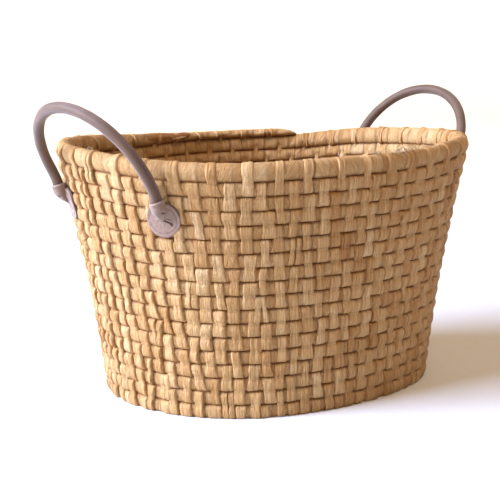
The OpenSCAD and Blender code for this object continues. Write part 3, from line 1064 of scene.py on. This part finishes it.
def sleeve(gather, place, flip, rng):
    """The part of the tab that is gathered round the end of the tube, with a turned mouth."""
    lip = [(13.0, 5.45), (17.0, 5.5), (20.0, 5.6), (20.5, 5.9), (20.75, 6.4), (20.6, 6.95), (20.1, 7.3),
           (19.2, 7.42), (18.4, 7.3), (17.95, 7.0), (17.7, 6.8), (17.0, 6.78)]
    heights = np.array([z for z, r in lip] + list(np.linspace(16, -2.4, 34)))[:, None]
    radii = np.array([r for z, r in lip] + [SLEEVE_RADIUS] * 34)[:, None]
    angle = circle(56)[None, :]
    q = np.clip((heights + 2.5) / 18.5, 0, 1)
    inside = (np.arange(len(heights)) < 3)[:, None]
    full = np.where(inside, 1, np.sin(math.pi / 2 * q))
    slim = np.sin(math.pi / 2 * np.clip((heights + 2.2) / 15, 0, 1)) ** 0.8
    ring = heights > 16.3
    top = np.where(ring, TUBE_OFFSET + radii, 2.6 + (TUBE_OFFSET + SLEEVE_RADIUS - 2.6) * full)
    bottom = np.where(ring, TUBE_OFFSET - radii, 1.9 + 0 * full)
    half = np.where(ring, radii, 0.5 + (SLEEVE_RADIUS - 0.5) * slim)
    fold = 1 + 0.09 * (1 - full) ** 0.8 * np.cos(5 * angle + 0.8)
    fold = np.where(inside, 1, fold + 0.015 * np.sin(3 * angle + heights * 0.4))
    out = (top + bottom) / 2 + (top - bottom) / 2 * np.cos(angle) * fold
    across = half * np.sin(angle) * fold * flip + flip * PUCKER[0] * (1 - full)
    tilt = 0.17 * smooth((heights - 12) / 7)
    up = heights + tilt * across * flip + (1 - q) * PUCKER[1] * 0.6
    beside, front = np.sin(angle) * half, np.cos(angle) > 0
    crease = bell(beside, -4.6, 0.75) * front * np.exp(-((heights - 5.0) / 3.2) ** 4)
    hole = np.exp(-(((beside - 4.9) / 1.1) ** 2 + ((heights - 9.6) / 1.15) ** 2) ** 2) * front
    out = out - 0.9 * crease - 1.3 * hole
    # Painted shade: depth darkens the crease and the small hole, which are shallow dents. The tone is
    # raised along the lip of the mouth.
    gather.add(in_tab(place, out, across, up), stack(across, up, 33),
               0.50 + 0.3 * bell(heights, 19.6, 1.0), np.maximum(crease, hole),
               around=True, inward=flip > 0)


def tab_backing(end, side):
    """The flat inner layer of a tab, a little larger, so that its edge shows."""
    rng = tab_rng(91, end, side)
    place = tab_frame(end, side)
    angle = circle(96)[None, :]
    share = np.array([0.01, 0.3, 0.6, 0.85, 0.97, 1.0, 1.0, 0.97, 0.6, 0.01])[:, None]
    level = np.array([1.62, 1.62, 1.62, 1.62, 1.6, 1.45, 0.8, 0.6, 0.55, 0.55])[:, None]
    outline = (TAB_RADIUS + 0.1) * ragged_round(angle, rng)
    across, up = TAB_NARROWING * share * outline * np.cos(angle), share * outline * np.sin(angle)
    out = level - across ** 2 / TAB_CURVE
    piece = grid_piece(f"{end}_{side}_tab_lining", LINING, in_tab(place, out, across, up)[:, ::-1],
                       stack(across, up, 0)[:, ::-1], 0.4, 0.0)
    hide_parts(f"{end}_{side}_tab_backing")
    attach(piece, "basket")


def tab_stitches(end, side):
    rng = tab_rng(51, end, side)
    flip = 1 if end == "left" else -1
    origin, to_out, to_across, to_up = place = tab_frame(end, side)
    gather = Gather()
    for index in range(TAB_STITCHES):
        angle = math.radians(90 + STITCH_GAP + (index + 0.5) * (360 - 2 * STITCH_GAP) / TAB_STITCHES)
        across, up = TAB_NARROWING * STITCH_RADIUS * math.cos(angle), STITCH_RADIUS * math.sin(angle)
        height, slit = cover_height(np.array(across), np.array(up), flip, [])
        middle = in_tab(place, COVER_FACE - 0.12 + float(height) - across ** 2 / TAB_CURVE, across, up)
        way = -math.sin(angle) * to_across + math.cos(angle) * to_up
        side_way = math.cos(angle) * to_across + math.sin(angle) * to_up
        way = unit(way + rng.normal(0, 0.08) * side_way)
        grain(gather, middle, way, side_way, to_out, rng.uniform(1.5, 2.0), 0.62)
    piece = gather.piece(f"{end}_{side}_stitches", THREAD)
    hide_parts(f"{end}_{side}_tab_stitching")
    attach(piece, "basket")


for end in ENDS:
    handle_skin(end)
    handle_core(end)
    handle_seam(end)
    for side in SIDES:
        tab_cover(end, side)
        tab_backing(end, side)
        tab_stitches(end, side)

# ---- floor, light and camera
FLOOR_REACH = 4000.0  # how far the flat part goes
FLOOR_CURVE = 2500.0  # radius of the bend
BACKDROP_TOP = 5200.0


def floor_material():
    """Matt white studio paper."""
    w = Wires("studio_paper")
    grain = w.noise(w.node("ShaderNodeTexCoord").outputs["Object"], scale=60, detail=2)
    w.set("Base Color", w.ramp(grain, [(0, (0.68, 0.68, 0.672)), (1, (0.71, 0.71, 0.703))]))
    w.set("Roughness", 0.9)
    w.set("Specular IOR Level", 0.1)
    return w.material


def make_floor():
    """A round floor that curves up into a backdrop, so that no horizon shows."""
    curve = np.linspace(0, math.pi / 2, 24)
    reach = np.concatenate([[1, 600, 1600, 2800], FLOOR_REACH + FLOOR_CURVE * np.sin(curve),
                            [FLOOR_REACH + FLOOR_CURVE]])
    level = np.concatenate([[0, 0, 0, 0], FLOOR_CURVE * (1 - np.cos(curve)), [BACKDROP_TOP]])
    angle = circle(96)
    reach = reach[:, None]
    points = stack(reach * np.cos(angle), reach * np.sin(angle), level[:, None]).reshape(-1, 3)
    faces = grid_faces(len(reach), 96, around=True)[:, ::-1]
    floor = new_piece("floor", floor_material(), points, faces)


def area_light(name, place, size, power, colour, target=(0, 0, 0.12)):
    lamp = bpy.data.lights.new(name, "AREA")
    lamp.shape = "DISK"
    lamp.size = size
    lamp.energy = power
    lamp.color = colour
    obj = bpy.data.objects.new(name, lamp)
    scene.collection.objects.link(obj)
    obj.location = place
    obj.rotation_euler = (Vector(target) - Vector(place)).to_track_quat("-Z", "Y").to_euler()


def make_light():
    world = bpy.data.worlds.new("studio")
    world.use_nodes = True
    world.node_tree.nodes["Background"].inputs["Color"].default_value = (1.0, 0.56, 0.19, 1)
    world.node_tree.nodes["Background"].inputs["Strength"].default_value = 0.27
    scene.world = world
    area_light("window", (-2.58, 0.88, 1.70), 2.7, 375, (0.85, 1.0, 1.42))
    area_light("fill", (0.25, -1.1, 2.7), 1.2, 29, (1.0, 0.76, 0.46), (-0.12, 0.12, 0.2))
    area_light("backdrop_light", (1.3, 1.7, 3.4), 2.5, 270, (1.0, 0.79, 0.54), (4.0, 5.2, 1.6))
    scene.view_settings.view_transform = "Standard"
    scene.view_settings.look = "None"


CAMERA_AZIMUTH = math.radians(-38.016)
CAMERA_HEIGHT = math.radians(9.733)
CAMERA_ROLL = math.radians(-0.243)
CAMERA_DISTANCE = 1359.6
CAMERA_AIM = (-19.9, 136.0)
CAMERA_LENS = 92.4


def make_camera():
    """The camera stands in front and to the left, a little above the rim."""
    back = Vector((math.sin(CAMERA_AZIMUTH) * math.cos(CAMERA_HEIGHT),
                   -math.cos(CAMERA_AZIMUTH) * math.cos(CAMERA_HEIGHT), math.sin(CAMERA_HEIGHT)))
    right = Vector((math.cos(CAMERA_AZIMUTH), math.sin(CAMERA_AZIMUTH), 0))
    aim = right * CAMERA_AIM[0] + Vector((0, 0, CAMERA_AIM[1]))
    data = bpy.data.cameras.new("camera")
    data.lens = CAMERA_LENS
    data.sensor_width = 36
    camera = bpy.data.objects.new("camera", data)
    scene.collection.objects.link(camera)
    camera.location = (aim + back * CAMERA_DISTANCE) * MM
    camera.rotation_mode = "QUATERNION"
    turn = back.to_track_quat("Z", "Y")
    camera.rotation_quaternion = turn @ Quaternion((0, 0, 1), CAMERA_ROLL)
    scene.camera = camera


make_floor()
make_light()
make_camera()
